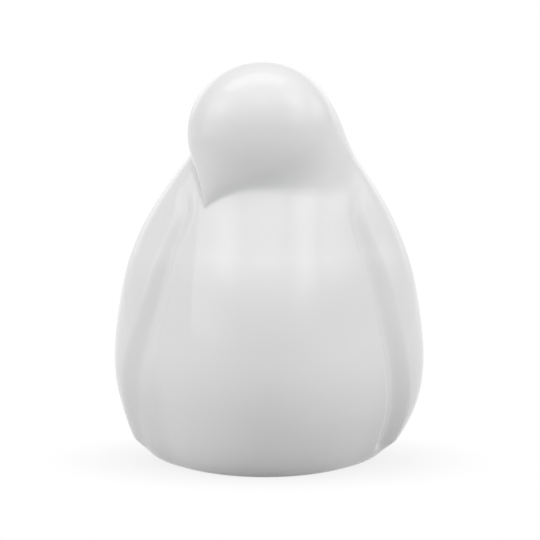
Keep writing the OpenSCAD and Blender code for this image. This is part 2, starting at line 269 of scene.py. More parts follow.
# %% Relief of the folded wings
TRAIL_STEP = np.radians(6.0)
WING_LOW = 2.6
LIP_H = 0.08
LIP_W = 1.0
GROOVE_D = 0.9
GROOVE_AT = 4.4
BULGE_H = 1.2
BULGE_AT = 10.0
WRIST_SHARE = 0.4
FULL_Z = 44.0
LEVEL_TOP = 46.0
LEVEL_LOW = 17.0
LEVEL_SPREAD = 1.4
FOOT_FADE = 3.0
LIP_FADE = 6.0
BULGE_FADE = 14.0


def wing_size(z):
    """Size of the relief at height z: full below, eased to a small share at the wrist."""
    return 1 - (1 - WRIST_SHARE) * ease(FULL_Z, WRIST_Z, z)


def dip(far):
    """Fall from the lip to the bottom of the hollow: a smooth step from the middle of the lip."""
    return ease(LIP_W / 2, GROOVE_AT, far)


def wing_parts(az, z):
    """Lip, hollow and rise of the wing as shares from 0 to 1, faded out at its ends.

    Each is a smooth step of the distance from the leading edge, over a width that shrinks a
    third as much as the relief does. Lip and hollow of the bird's right wing run out downwards
    and spread as they do, and its left wing has no lip.
    """
    signed = (az + np.pi) % (2 * np.pi) - np.pi
    side = np.abs(signed)
    deep = np.where(signed < 0, ease(LEVEL_LOW, LEVEL_TOP, z), 1.0)
    q = (side - lead_az(z)) * body_radius(az, z)
    width = (2 + wing_size(z)) / 3 * (LEVEL_SPREAD + (1 - LEVEL_SPREAD) * deep)
    far = q / width
    lip = np.where(signed < 0, deep, 0.0) * ease(0.0, LIP_W, q) * (1 - dip(far))
    hollow = deep * dip(far) * (1 - ease(GROOVE_AT, BULGE_AT, far))
    rise = ease(GROOVE_AT, BULGE_AT, far)
    back = trail_az(z)
    ends = ease(WING_LOW, WING_LOW + FOOT_FADE, z) * (1 - ease(back - TRAIL_STEP, back, side))
    lip_end = ends * (1 - ease(WING_TOP - LIP_FADE, WING_TOP, z))
    rise_end = ends * wing_size(z) * (1 - ease(WING_TOP - BULGE_FADE, WING_TOP, z))
    return lip * lip_end, hollow * rise_end, rise * rise_end


def relief(az, z):
    """Level push of the wall: the lip and the rise outwards, the hollow inwards."""
    lip, hollow, rise = wing_parts(az, z)
    return LIP_H * lip - GROOVE_D * hollow + BULGE_H * rise


print("push of the flanks 30 mm up:", np.round(relief(np.radians([-90.0, 90.0]), 30.0), 2), "mm")

# %% [markdown]
# ## One skin for the whole bird
#
# Under the glaze the castings share one unbroken surface, so the whole outside is worked out
# as one grid: columns round the bird, rows from crown to foot. The columns follow the leading
# and trailing edges of the wings and crowd together at the lips; the rows crowd together at
# the joint of head and body. Cutting this one grid into pieces gives borders that meet to the
# last digit, which separate meshes laid over each other would not.

# %% Columns round the bird
N_BEAK = 60
N_BREAST = 156
N_WING = 180
N_BACK = 108
N_COL = N_BEAK + N_BREAST + 2 * N_WING + N_BACK
CROWDING = 0.6
CROWD_POWER = 1.6
EDGE_MAX = np.radians(60.0)


def crowd(s):
    """Shares 0 to 1 that lie closer together at both ends, and most at the first."""
    return (s**CROWD_POWER + CROWDING * (1 - np.cos(np.pi * s)) / 2) / (1 + CROWDING)


def runs():
    """Weights c0, ce, cb of each column, so that its bearing is c0 + ce * edge + cb * trail."""
    s1 = np.arange(N_BEAK) / N_BEAK
    s2 = np.arange(N_BREAST) / N_BREAST
    s3 = np.arange(N_WING) / N_WING
    s4 = np.arange(N_BACK) / N_BACK
    wing = crowd(s3)
    other = crowd(1 - s3)
    turn = 2 * np.pi
    c0 = [TIP_AZ * s1, TIP_AZ * (1 - s2), 0 * s3, turn * s4, turn + 0 * s3]
    ce = [s1 - 1, s2, 1 - wing, 0 * s4, other - 1]
    cb = [0 * s1, 0 * s2, wing, 1 - 2 * s4, -other]
    return np.concatenate(c0), np.concatenate(ce), np.concatenate(cb)


C0, CE, CB = runs()


def column_az(z):
    """Bearing of every column at heights z, whose last axis runs over the columns."""
    return C0 + CE * np.minimum(lead_az(z), EDGE_MAX) + CB * trail_az(z)


print("columns:", N_COL)

# %% Seam of head and body
SEAM_STEPS = 40


def bisect(below, lo, hi, steps=24):
    """Halves the span lo to hi of whole arrays, keeping the upper half where below is true."""
    for _ in range(steps):
        mid = (lo + hi) / 2
        under = below(mid)
        lo = np.where(under, mid, lo)
        hi = np.where(under, hi, mid)
    return (lo + hi) / 2


def seam_heights():
    """Height at which each column passes from body to head: both are equally near there."""
    def over(z):
        az = column_az(z)
        d = softness(az) / 4
        return head_gap(on_body(az, z, d)) > d
    lo = np.full(N_COL, HEAD_Z - 2 * HEAD_R)
    hi = np.full(N_COL, LOFT_H - LOFT_CAP / 2)
    return bisect(over, lo, hi, SEAM_STEPS)


SEAM_Z = seam_heights()
SEAM_AZ = column_az(SEAM_Z)
SEAM = on_body(SEAM_AZ, SEAM_Z, softness(SEAM_AZ) / 4)
print("seam from", round(SEAM_Z.min(), 1), "to", round(SEAM_Z.max(), 1), "mm")

# %% Rows of the body
N_LOW = 168
N_NECK = 30
NECK_ROW = 2.5
END_SHARE = 0.7
RELIEF_FROM = 0.2


def body_rows():
    """Heights from the seam down to the foot: neck rows, then rows that crowd at both ends."""
    top = np.minimum(WING_TOP, SEAM_Z - NECK_ROW)
    k = np.arange(1, N_NECK + 1)[:, None] / N_NECK
    neck = SEAM_Z + (top - SEAM_Z) * k**2
    t = np.arange(1, N_LOW + 1)[:, None] / N_LOW
    share = END_SHARE * (1 + np.cos(np.pi * t)) / 2 + (1 - END_SHARE) * (1 - t)
    return np.concatenate([neck, WING_LOW + (top - WING_LOW) * share])


def wall(az, z):
    """Finished wall: the body with the fillet to the head, where the joined distance is 0."""
    k = softness(az)
    gap = np.zeros_like(az)
    near = head_gap(on_body(az, z, 0.0)) < k
    a, h = az[near], z[near]
    gap[near] = bisect(lambda g: joined(on_body(a, h, g)) < 0, 0 * a, k[near] / 4)
    return on_body(az, z, gap)


ROW_Z = body_rows()
ROW_AZ = column_az(ROW_Z)
CLEAR = ease(RELIEF_FROM, NECK_ROW, SEAM_Z - ROW_Z)
BODY = wall(ROW_AZ, ROW_Z) + (CLEAR * relief(ROW_AZ, ROW_Z))[..., None] * out(ROW_AZ)
print("body rows:", len(BODY), "lowest", round(BODY[..., 2].min(), 2), "mm")

# %% Rows of the head
N_CROWN = 112
CROWN = unit(np.array([0.25, 0.35, 1.0]))
CROWN_POWER = 1.5
INSIDE = 0.999


def head_rows():
    """Points on arcs from the crown to the seam, each where the joined distance is 0."""
    d = unit(SEAM - HEAD_C)
    c = (d @ CROWN)[:, None]
    e = unit(d - c * CROWN)
    t = 1 - (1 - np.arange(1, N_CROWN)[:, None, None] / N_CROWN) ** CROWN_POWER
    angle = np.arccos(c) * t
    ray = np.cos(angle) * CROWN + np.sin(angle) * e
    egg = ray / FLAT
    r = ball(unit(egg)) / np.linalg.norm(egg, axis=-1)
    reach = bisect(lambda m: joined(HEAD_C + m[..., None] * ray) < 0, INSIDE * r, r + NAPE_R / 2)
    return HEAD_C + reach[..., None] * ray


HEAD = head_rows()
POLE = HEAD_C + CROWN * HEAD_R / np.linalg.norm(CROWN / FLAT)
print("head rows:", len(HEAD), "crown at", np.round(POLE, 1))

# %% [markdown]
# ## The foot
#
# The bird stands on a ring. Its outside is rounded by the glaze, its underside was wiped bare
# before firing, and inside it a plate closes the casting. The ring is turned, so its rows are
# circles that join the lowest row of the body; a separate ring would leave a gap.

# %% Rows of the foot ring
base_lo, base_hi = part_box("base")
RING_R = 20.0
RIM_Z = 0.4
LEDGE_Z = base_hi.z / MM
N_RIM = 8
N_RING = 6
BORE_BEVEL = 0.2


def foot_rows():
    """Last rows: down the wall to the rim, across the bare ring, and up the bore to its ledge."""
    az = column_az(np.full(N_COL, RIM_Z))
    z = WING_LOW + (RIM_Z - WING_LOW) * np.arange(1, N_RIM + 1)[:, None] / N_RIM + 0 * az
    down = on_body(az + 0 * z, z, 0.0)
    bore = RING_R * out(az)
    t = np.arange(1, N_RING + 1)[:, None, None] / N_RING
    lip = bore * (1 + BORE_BEVEL / RING_R) + np.array([0.0, 0.0, RIM_Z])
    ring = down[-1] + (lip - down[-1]) * t
    up = np.array([RIM_Z + BORE_BEVEL, LEDGE_Z - BORE_BEVEL, LEDGE_Z])[:, None, None]
    return np.concatenate([down, ring, bore + up * np.array([0.0, 0.0, 1.0])])


FOOT = foot_rows()
SKIN = np.concatenate([HEAD, SEAM[None], BODY, FOOT])
R_SEAM = len(HEAD)
R_TOP = R_SEAM + N_NECK
R_LOW = R_TOP + N_LOW
R_FOOT = R_SEAM + len(BODY) + 1
print("skin:", SKIN.shape[0], "rows by", SKIN.shape[1], "columns")

# %% [markdown]
# ## Shading the skin
#
# A glossy glaze shows every small break in the shading. Blender works out vertex normals
# piece by piece, so they would disagree along the cuts. The normals of the whole grid are
# worked out here before it is cut, and each piece keeps its share of them.

# %% Normals of the whole grid
def tangent(p, axis, closed):
    """Direction of the grid lines: both neighbour steps, each weighted by the other's length."""
    step = np.diff(p, axis=axis)
    if closed:
        after = np.concatenate([step, np.take(p, [0], axis) - np.take(p, [-1], axis)], axis)
        before = np.roll(after, 1, axis)
    else:
        after = np.concatenate([step, np.take(step, [-1], axis)], axis)
        before = np.concatenate([np.take(step, [0], axis), step], axis)
    la = np.linalg.norm(after, axis=-1, keepdims=True)
    lb = np.linalg.norm(before, axis=-1, keepdims=True)
    return unit(after * lb / la + before * la / lb)


NORMAL = unit(np.cross(tangent(SKIN, 0, False), tangent(SKIN, 1, True)))
print("normal at the breast:", np.round(NORMAL[R_TOP + N_LOW // 2, N_BEAK + N_BREAST // 2], 2))

# %% Painted shade in creases and hollows
# Painted shade: these shares turn the glaze grey in the crease under the beak and in the wing
# hollows.
CREASE_SHADE = 0.8
HOLLOW_SHADE = 0.2
SHADE_FADE_R = 2.0


def painted_shade():
    """Share of painted shade on the grid: full in the crease at the beak, less in the hollows."""
    near = SKIN[:R_FOOT]
    b = body_gap(near)
    h = head_gap(near)
    az = around(near)[0]
    k = softness(az)
    crease = np.clip(1 - np.abs(b - h) / (2 * k), 0.0, 1.0) ** 2 * (1 - ease(SHADE_FADE_R, NAPE_R, k))
    hollow = np.zeros_like(crease)
    hollow[R_SEAM + 1:] = wing_parts(ROW_AZ, ROW_Z)[1]
    depth = np.zeros(SKIN.shape[:2])
    depth[:R_FOOT] = np.clip(CREASE_SHADE * crease + HOLLOW_SHADE * hollow, 0.0, 1.0)
    return depth


SHADE = painted_shade()
print("pooled glaze, mean share:", round(float(SHADE.mean()), 3))

# %% [markdown]
# ## Cutting the skin into castings
#
# The head ends at the seam, each wing fills the block between its own edges, and the body
# keeps the rest. Every casting is closed: head and body by a hidden cap at the seam, the
# wings by an inner face, and the body by the seats that the wings lie in. The hidden faces
# are coarse, so a strip of triangles steps down from the fine border to every twelfth point.
# Boolean cuts would do it too, but would leave thin faces along the borders.

# %% Helpers for faces
STRIDE = 12


def index(row, column):
    """Number of a grid point in the flattened skin; columns wrap round."""
    return row * N_COL + column % N_COL


def cells(rows, columns):
    """Quads of the skin between the given rows, facing outwards."""
    r, c = np.meshgrid(rows, columns, indexing="ij")
    corners = [index(r, c), index(r + 1, c), index(r + 1, c + 1), index(r, c + 1)]
    return np.stack(corners, -1).reshape(-1, 4)


def fan(ring, centre):
    """Triangles from a closed ring of points to one centre point."""
    return np.stack([ring, np.roll(ring, -1), np.full_like(ring, centre)], -1)


def bridge(fine, coarse):
    """Triangles between a fine row of points and a coarse one with every STRIDE-th point."""
    f = np.arange(len(fine) - 1)
    c = f // STRIDE
    pick = c + (f % STRIDE >= STRIDE // 2)
    up = np.stack([fine[f], fine[f + 1], coarse[pick]], -1)
    n = np.arange(len(coarse) - 1)
    down = np.stack([fine[n * STRIDE + STRIDE // 2], coarse[n + 1], coarse[n]], -1)
    return np.concatenate([up, down])


print("quads of the whole skin:", len(cells(np.arange(len(SKIN) - 1), np.arange(N_COL))))

# %% Head
FLAT_SKIN = SKIN.reshape(-1, 3)
FLAT_NORMAL = NORMAL.reshape(-1, 3)
FLAT_SHADE = SHADE.ravel()
N_SKIN = len(FLAT_SKIN)
ALL = np.arange(N_COL)
SEAM_C = SEAM.mean(0)


def extend(*extra):
    """Skin points with extra points after them, and the same for normals and the share of painted
    shade.
    """
    more = np.concatenate([np.reshape(e, (-1, 3)) for e in extra])
    return (np.concatenate([FLAT_SKIN, more]), np.concatenate([FLAT_NORMAL, unit(more)]),
            np.concatenate([FLAT_SHADE, np.zeros(len(more))]))


def add_piece(name, points, normals, quads, triangles, depth=None):
    """Mesh object from points in millimetres and faces that number them; unused points go."""
    numbers = np.concatenate([quads.ravel(), triangles.ravel()])
    used, flat = np.unique(numbers, return_inverse=True)
    fours, threes = flat[:quads.size].reshape(-1, 4), flat[quads.size:].reshape(-1, 3)
    polygons = fours.tolist() + threes.tolist()
    mesh = bpy.data.meshes.new(name)
    mesh.from_pydata(points[used] * MM, [], polygons)
    mesh.shade_smooth()
    # Per-point share of painted shade in creases and hollows, by which the glaze turns grey.
    shaded = mesh.attributes.new("painted_shade", "FLOAT", "POINT")
    if depth is not None:
        shaded.data.foreach_set("value", depth[used].astype(np.float32))
    mesh.normals_split_custom_set_from_vertices(normals[used].astype(np.float32))
    piece = bpy.data.objects.new(name, mesh)
    bpy.context.scene.collection.objects.link(piece)
    mesh.calc_loop_triangles()
    print(name, len(mesh.loop_triangles), "triangles")
    return piece


points, normals, depth = extend(POLE, SEAM_C)
normals[N_SKIN] = CROWN
triangles = np.concatenate([fan(index(0, ALL), N_SKIN),
                            fan(index(R_SEAM, ALL), N_SKIN + 1)[:, ::-1]])
head = add_piece("head_porcelain", points, normals, cells(np.arange(R_SEAM), ALL), triangles, depth)

# %% Wings
LEFT = np.arange(N_BEAK + N_BREAST, N_BEAK + N_BREAST + N_WING + 1)
RIGHT = np.arange(N_COL - N_WING, N_COL + 1)
BLOCK = np.arange(R_TOP, R_LOW + 1)
WING_SEAT = 2.6
SLIP = 0.1


def under_wing(columns, depth):
    """Coarse grid of points that lies depth below the wall in the block of one wing."""
    rows = (BLOCK - R_SEAM - 1)[::STRIDE, None]
    cols = columns[None, ::STRIDE] % N_COL
    az = ROW_AZ[rows, cols]
    return wall(az, ROW_Z[rows, cols]) - depth * out(az)


def pocket(columns, first):
    """Quads of a wing's inner face, numbered from first, and triangles of its four sides."""
    n = len(columns[::STRIDE])
    floor = first + np.arange(len(BLOCK[::STRIDE]) * n).reshape(-1, n)
    sides = [bridge(index(R_TOP, columns), floor[0]),
             bridge(index(BLOCK, columns[-1]), floor[:, -1]),
             bridge(index(R_LOW, columns[::-1]), floor[-1, ::-1]),
             bridge(index(BLOCK[::-1], columns[0]), floor[::-1, 0])]
    corners = [floor[:-1, 1:], floor[1:, 1:], floor[1:, :-1], floor[:-1, :-1]]
    return np.stack(corners, -1).reshape(-1, 4), np.concatenate(sides)


wings = {}
for name, columns in {"left_wing": LEFT, "right_wing": RIGHT}.items():
    points, normals, depth = extend(under_wing(columns, WING_SEAT - SLIP))
    inner, sides = pocket(columns, N_SKIN)
    quads = np.concatenate([cells(BLOCK[:-1], columns[:-1]), inner])
    wings[name] = add_piece(name + "_porcelain", points, normals, quads, sides, depth)

# %% Body
FOOT_C = np.array([0.0, 0.0, LEDGE_Z])
seats = [under_wing(LEFT, WING_SEAT), under_wing(RIGHT, WING_SEAT)]
points, normals, depth = extend(*seats, SEAM_C, FOOT_C)
first = N_SKIN + seats[0].shape[0] * seats[0].shape[1]
last = len(points) - 1
pockets = [pocket(LEFT, N_SKIN), pocket(RIGHT, first)]
bare = np.setdiff1d(ALL, np.concatenate([LEFT[:-1], RIGHT[:-1]]))
foot = np.arange(R_LOW, len(SKIN) - 1)
outside = [cells(np.arange(R_SEAM, R_TOP), ALL), cells(BLOCK[:-1], bare), cells(foot, ALL)]
caps = [fan(index(R_SEAM, ALL), last - 1), fan(index(len(SKIN) - 1, ALL), last)[:, ::-1]]
quads = np.concatenate(outside + [p[0][:, ::-1] for p in pockets])
triangles = np.concatenate([p[1][:, ::-1] for p in pockets] + caps)
body = add_piece("body_porcelain", points, normals, quads, triangles, depth)
# Quads of bare clay: under the ring, in its bore and in the hidden seats.
WIPED = quads.min(1) >= index(R_FOOT + N_RIM - 1, 0)

# %% [markdown]
# ## The tail
#
# Behind, a short rounded tail grows out of the back between the wings. It could be a block of
# the same skin, but it reaches out further than the rows are apart, so it has a finer grid of
# its own: an arched push backwards and a little down, with a fillet along its rim, which lies
# just below the glaze of the back.

# %% Tail
TAIL_LEN = 8.4
TAIL_W = 23.0
TAIL_LOW = 7.0
TAIL_TOP = 33.0
TAIL_DROOP = 0.25
TAIL_TAPER = 0.35
TAIL_SINK = 0.08
TAIL_INNER = 1.2
ARCH_SIDE, ARCH_UP, ROW_POWER = 0.6, 1.1, 1.4
FILLET_SIDE, FILLET_LOW, FILLET_TOP = 0.14, 0.06, 0.12
SINK_SIDE, SINK_ENDS = 0.1, 0.05
N_TAIL = 121
NO_TRIANGLES = np.zeros((0, 3), int)


def tail_grid(push, sink):
    """Points over the root of the tail: the wall, sunk a little at the rim and pushed back.

    The push is a power of a sine across times a power of a sine upwards, eased at the rim.
    """
    v = np.linspace(0.0, 1.0, N_TAIL)[:, None] ** ROW_POWER
    s = np.sin(np.linspace(-np.pi / 2, np.pi / 2, N_TAIL))[None, :]
    edge = 1 - np.abs(s)
    z = TAIL_TOP + (TAIL_LOW - TAIL_TOP) * (1 - v) + 0.0 * s
    half = TAIL_W / 2 / body_radius(np.pi, z) * (1 - TAIL_TAPER * v * v)
    az = np.pi + s * half
    side = np.cos(np.pi / 2 * s) ** ARCH_SIDE * ease(0.0, FILLET_SIDE, edge)
    lift = np.sin(np.pi * np.sqrt(v)) ** ARCH_UP
    lift = lift * ease(0.0, FILLET_LOW, v) * ease(0.0, FILLET_TOP, 1 - v)
    rim = np.minimum(ease(0.0, SINK_SIDE, edge), ease(0.0, SINK_ENDS, np.minimum(v, 1 - v)))
    reach = push * TAIL_LEN * side * lift
    return on_body(az, z, sink * (rim - 1)) + reach[..., None] * np.array([0.0, 1.0, -TAIL_DROOP])


shell = tail_grid(1.0, TAIL_SINK)[::-1]
under = tail_grid(0.0, 0.0)[::-1] - TAIL_INNER * unit(shell * np.array([1.0, 1.0, 0.0]))
tail_normals = unit(np.cross(tangent(shell, 0, False), tangent(shell, 1, False))).reshape(-1, 3)
number = np.arange(N_TAIL * N_TAIL).reshape(N_TAIL, N_TAIL)
corners = [number[:-1, :-1], number[1:, :-1], number[1:, 1:], number[:-1, 1:]]
outer = np.stack(corners, -1).reshape(-1, 4)
ring = np.concatenate([number[0, :-1], number[:-1, -1], number[-1, :0:-1], number[:0:-1, 0]])
after = np.roll(ring, -1)
sides = np.stack([ring, after, after + number.size, ring + number.size], -1)
tail = add_piece("tail_porcelain", np.concatenate([shell, under]).reshape(-1, 3),
                 np.concatenate([tail_normals, tail_normals]),
                 np.concatenate([outer, outer[:, ::-1] + number.size, sides]), NO_TRIANGLES)

# %% [markdown]
# ## The underside
#
# A plate of unglazed porcelain closes the foot, with a vent hole that lets steam out in the
# kiln, and a felt disc under it keeps the ring off the table. Both are turned shapes: a
# profile carried round the axis, with rounded edges, and a little unevenness in the felt.
# Cylinders with a bevel would do for the plate, but not for the ripple of the felt.

# %% Base plate and felt disc
N_TURN = 192
N_ROUND = 6
VENT_R = 4.0
PLATE_ROUND = 0.3
FELT_ROUND = 0.35
FELT_WAVE = 0.08
WAVES = 23, 41
felt_lo, felt_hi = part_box("felt_pad")
base_r = base_hi.x / MM
felt_r = felt_hi.x / MM


def rounded(r0, r1, z0, z1, bevel):
    """Closed profile of a ring from r0 to r1 and z0 to z1 with quarter rounds at its corners."""
    t = np.linspace(0.0, np.pi / 2, N_ROUND)
    parts = []
    for k, (r, z) in enumerate([(r1 - bevel, z0 + bevel), (r1 - bevel, z1 - bevel),
                                (r0 + bevel, z1 - bevel), (r0 + bevel, z0 + bevel)]):
        a = t + (k - 1) * np.pi / 2
        parts.append(np.stack([r + bevel * np.cos(a), z + bevel * np.sin(a)], -1))
    return np.concatenate(parts)


def turned(name, profile, wave=0.0, disc=False):
    """Profile of radius and height carried round Z; wave pushes it by a low ripple.

    A ring's profile is closed. A disc's runs over its rim only, and a fan of triangles closes
    each face at its middle.
    """
    rows = len(profile)
    a = np.linspace(0.0, 2 * np.pi, N_TURN, endpoint=False)[None, :]
    r = profile[:, :1] + wave * np.sin(WAVES[0] * a) * np.sin(WAVES[1] * a + profile[:, 1:])
    p = np.stack([r * np.cos(a), r * np.sin(a), profile[:, 1:] + 0.0 * a], -1)
    n = unit(np.cross(tangent(p, 1, True), tangent(p, 0, not disc)))
    number = np.arange(rows * N_TURN).reshape(rows, N_TURN)
    upper = np.roll(number, -1, 0)
    corners = [number, np.roll(number, -1, 1), np.roll(upper, -1, 1), upper]
    quads = np.stack(corners, -1)[:rows - disc].reshape(-1, 4)
    fans = np.concatenate([fan(number[0], number.size)[:, ::-1], fan(number[-1], number.size + 1)])
    middle = np.array([[0.0, 0.0, profile[0, 1]], [0.0, 0.0, profile[-1, 1]]])
    facing = np.array([[0.0, 0.0, -1.0], [0.0, 0.0, 1.0]])
    points = np.concatenate([p.reshape(-1, 3), middle])
    normals = np.concatenate([n.reshape(-1, 3), facing])
    return add_piece(name, points, normals, quads, fans if disc else NO_TRIANGLES)


plate = rounded(VENT_R, base_r, base_lo.z / MM, base_hi.z / MM, PLATE_ROUND)
base = turned("base_plate", plate)
rim = rounded(0.0, felt_r, felt_lo.z / MM, felt_hi.z / MM, FELT_ROUND)[:2 * N_ROUND]
felt = turned("felt_disc", rim, FELT_WAVE, disc=True)

# %% [markdown]
# ## Finishes
#
# Hard white porcelain under a clear glaze: a pale body that scatters light and a glassy top.
# The glaze is not quite level, so reflections waver a little. In creases and hollows it is
# painted a trace greyer, as painted shade. The plate is the same clay without glaze, matte and
# slightly warm, and the felt is grey pressed wool. Pictures could be laid over the pieces, but
# noise in a piece's own space needs no unwrapping and has no seams.

# %% Helpers for finishes
def colour(code):
    """Linear colour from an sRGB hex code such as EDEDED."""
    c = np.array([int(code[i:i + 2], 16) for i in (0, 2, 4)]) / 255
    return (*np.where(c <= 0.04045, c / 12.92, ((c + 0.055) / 1.055) ** 2.4), 1.0)


def add_node(tree, kind, inputs, **settings):
    """Node with its settings, and its inputs given as values or as sockets to link from."""
    made = tree.nodes.new(kind)
    for key, value in settings.items():
        setattr(made, key, value)
    for key, value in inputs.items():
        if isinstance(value, bpy.types.NodeSocket):
            tree.links.new(value, made.inputs[key])
        else:
            made.inputs[key].default_value = value
    return made


def new_finish(name):
    """Empty material and its node tree."""
    finish = bpy.data.materials.new(name)
    finish.use_nodes = True
    finish.node_tree.nodes.clear()
    return finish, finish.node_tree


def close(tree, **inputs):
    """Principled shader with the given inputs, as the surface of the material."""
    named = {key.replace("_", " "): value for key, value in inputs.items()}
    shader = add_node(tree, "ShaderNodeBsdfPrincipled", named)
    add_node(tree, "ShaderNodeOutputMaterial", {"Surface": shader.outputs["BSDF"]})


print("white of the glaze in linear light:", np.round(colour("EDEDED")[:3], 3))

# %% Glaze over white porcelain
CLOUD = 14 * MM
WAVE, WAVE_H = 6 * MM, 0.006 * MM
RIPPLE, RIPPLE_H = 1.6 * MM, 0.0008 * MM
GLOSS = 0.03, 0.05


def noise(tree, size, detail, distortion=0.0):
    """Noise with features of the given size, in the piece's own coordinates."""
    place = add_node(tree, "ShaderNodeTexCoord", {}).outputs["Object"]
    made = add_node(tree, "ShaderNodeTexNoise", {"Vector": place, "Scale": 1 / size,
                                                 "Detail": detail, "Distortion": distortion})
    return made.outputs["Fac"]


def blend(tree, share, first, second):
    """Colour between two others, by a share from 0 to 1."""
    inputs = {"Factor": share, "A": first, "B": second}
    return add_node(tree, "ShaderNodeMix", inputs, data_type="RGBA").outputs["Result"]


def bump(tree, height, size, **more):
    """Normal of a surface that a pattern lifts by up to the given size."""
    inputs = {"Height": height, "Distance": size, "Strength": 1.0, **more}
    return add_node(tree, "ShaderNodeBump", inputs).outputs["Normal"]


def glaze():
    """Clear gloss glaze on porcelain: near white, wavy to a few thousandths of a millimetre."""
    finish, tree = new_finish("clear_glaze_on_porcelain")
    cloud = noise(tree, CLOUD, 3.0)
    shaded = add_node(tree, "ShaderNodeAttribute", {}, attribute_name="painted_shade").outputs["Fac"]
    tone = blend(tree, cloud, colour("EDEDED"), colour("F1F1F1"))
    low = bump(tree, noise(tree, WAVE, 1.0), WAVE_H)
    fine = bump(tree, noise(tree, RIPPLE, 2.0), RIPPLE_H, Normal=low)
    span = {"Value": cloud, "To Min": GLOSS[0], "To Max": GLOSS[1]}
    gloss = add_node(tree, "ShaderNodeMapRange", span).outputs["Result"]
    # Painted shade: the colour goes towards grey DFE0E0 by the share of painted shade, in creases
    # and hollows.
    close(tree, Base_Color=blend(tree, shaded, tone, colour("DFE0E0")), Roughness=gloss, IOR=1.5,
          Normal=fine)
    return finish


glazed = glaze()
print(glazed.name, "with", len(glazed.node_tree.nodes), "nodes")

# %% Bare porcelain and felt
GRAIN, GRAIN_H = 0.5 * MM, 0.03 * MM
FIBRE, FIBRE_H = 0.9 * MM, 0.2 * MM


def bisque():
    """Unglazed fired porcelain: matte, a little warm, with a fine sandy grain."""
    finish, tree = new_finish("bare_fired_porcelain")
    grain = noise(tree, GRAIN, 3.0)
    close(tree, Base_Color=blend(tree, grain, colour("D6D0C6"), colour("E6E1D8")),
          Roughness=0.75, Normal=bump(tree, grain, GRAIN_H))
    return finish


def wool_felt():
    """Pressed grey wool: matted fibres with a faint sheen."""
    finish, tree = new_finish("pressed_wool_felt")
    fibre = noise(tree, FIBRE, 4.0, distortion=2.0)
    close(tree, Base_Color=blend(tree, fibre, colour("34373A"), colour("55585B")),
          Roughness=0.95, Sheen_Weight=0.3, Normal=bump(tree, fibre, FIBRE_H))
    return finish


bare_clay = bisque()
wool = wool_felt()
print(bare_clay.name, "and", wool.name)

# %% Dress the pieces
dressing = [(body, "body", "glaze", glazed), (head, "head", "glaze", glazed),
            (wings["left_wing"], "left_wing", "glaze", glazed),
            (wings["right_wing"], "right_wing", "glaze", glazed),
            (tail, "tail", "glaze", glazed), (base, "base", "bisque", bare_clay),
            (felt, "felt_pad", "felt", wool)]
for piece, node, slot, finish in dressing:
    piece.data.materials.append(finish)
    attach(piece, "root")
    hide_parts(node)
body.data.materials.append(bare_clay)
faces = np.zeros(len(body.data.polygons), np.int32)
faces[:len(WIPED)] = WIPED
body.data.polygons.foreach_set("material_index", faces)
print("pieces:", [piece.name for piece, *_ in dressing], "wiped faces:", int(WIPED.sum()))

# %% [markdown]
# ## Camera
#
# The bird is seen from the front and a little above, through a long lens. A short lens close
# by would frame it as well, but would swell the breast. The length of the lens follows from the
# distance and from the width that the picture shows at the bird.

# %% Camera
EYE_DISTANCE = 0.9
EYE_ELEVATION = np.radians(5.0)
FRAME_WIDTH = 0.1327
SENSOR = 36.0
AIM = Vector((0.0002, 0.0, 0.0469))

lens = bpy.data.cameras.new("camera")
lens.sensor_width = SENSOR
lens.lens = SENSOR * EYE_DISTANCE / FRAME_WIDTH
camera = bpy.data.objects.new("camera", lens)
bpy.context.scene.collection.objects.link(camera)
back = Vector((0.0, -np.cos(EYE_ELEVATION), np.sin(EYE_ELEVATION)))
camera.location = AIM + EYE_DISTANCE * back
camera.rotation_euler = (-back).to_track_quat("-Z", "Y").to_euler()
bpy.context.scene.camera = camera
print("lens:", round(lens.lens, 1), "mm")

# %% [markdown]
# ## Light
#
# Glaze is seen by what it mirrors, so the lamps are large panels: a faint one overhead with
# plain edges, a tall one on the left whose rear edge is plain and draws the long lines in the
# breast and wing, and soft ones on the right and above. The room round them is a pale grey.
# Small lamps would light the bird as well, but would show as hard dots.

# %% Glow over a lamp's face
SHARP = (0.0, 0.0, 0.0, 0.0)
SOFT = (0.4, 0.4, 0.4, 0.4)


def smooth(tree, value, start, end, first, last):
    """Smooth step of a value: the level first up to start, the level last from end on."""
    inputs = {"Value": value, "From Min": start, "From Max": end, "To Min": first, "To Max": last}
    made = add_node(tree, "ShaderNodeMapRange", inputs, interpolation_type="SMOOTHSTEP")
    return made.outputs["Result"]


def reckon(tree, operation, first, second):
    """Result of an operation on two numbers, such as MULTIPLY or MAXIMUM."""
    made = add_node(tree, "ShaderNodeMath", {0: first, 1: second}, operation=operation)
    return made.outputs["Value"]


def face_level(tree, fades, round_face):
    """Share of the full glow over a lamp's face, as a product of smooth steps at its edges."""
    face = add_node(tree, "ShaderNodeNewGeometry", {}).outputs["Parametric"]
    if round_face:
        middle = {0: face, 1: (0.5, 0.5, 0.0)}
        off = add_node(tree, "ShaderNodeVectorMath", middle, operation="DISTANCE").outputs["Value"]
        return smooth(tree, off, 0.5 - 0.5 * fades[0], 0.5, 1.0, 0.0)
    place = add_node(tree, "ShaderNodeSeparateXYZ", {0: face}).outputs
    level = 1.0
    for axis, low, high in (("X", *fades[:2]), ("Y", *fades[2:])):
        for start, end, first, last in ((0.0, low, 0.0, 1.0), (1 - high, 1.0, 1.0, 0.0)):
            if end > start:
                step = smooth(tree, place[axis], start, end, first, last)
                level = reckon(tree, "MULTIPLY", step, level)
    return level


print("shares of the face that fade at sharp and soft edges:", SHARP, SOFT)

# %% Soft boxes
HEART = Vector((0.0, 0.0, 0.05))


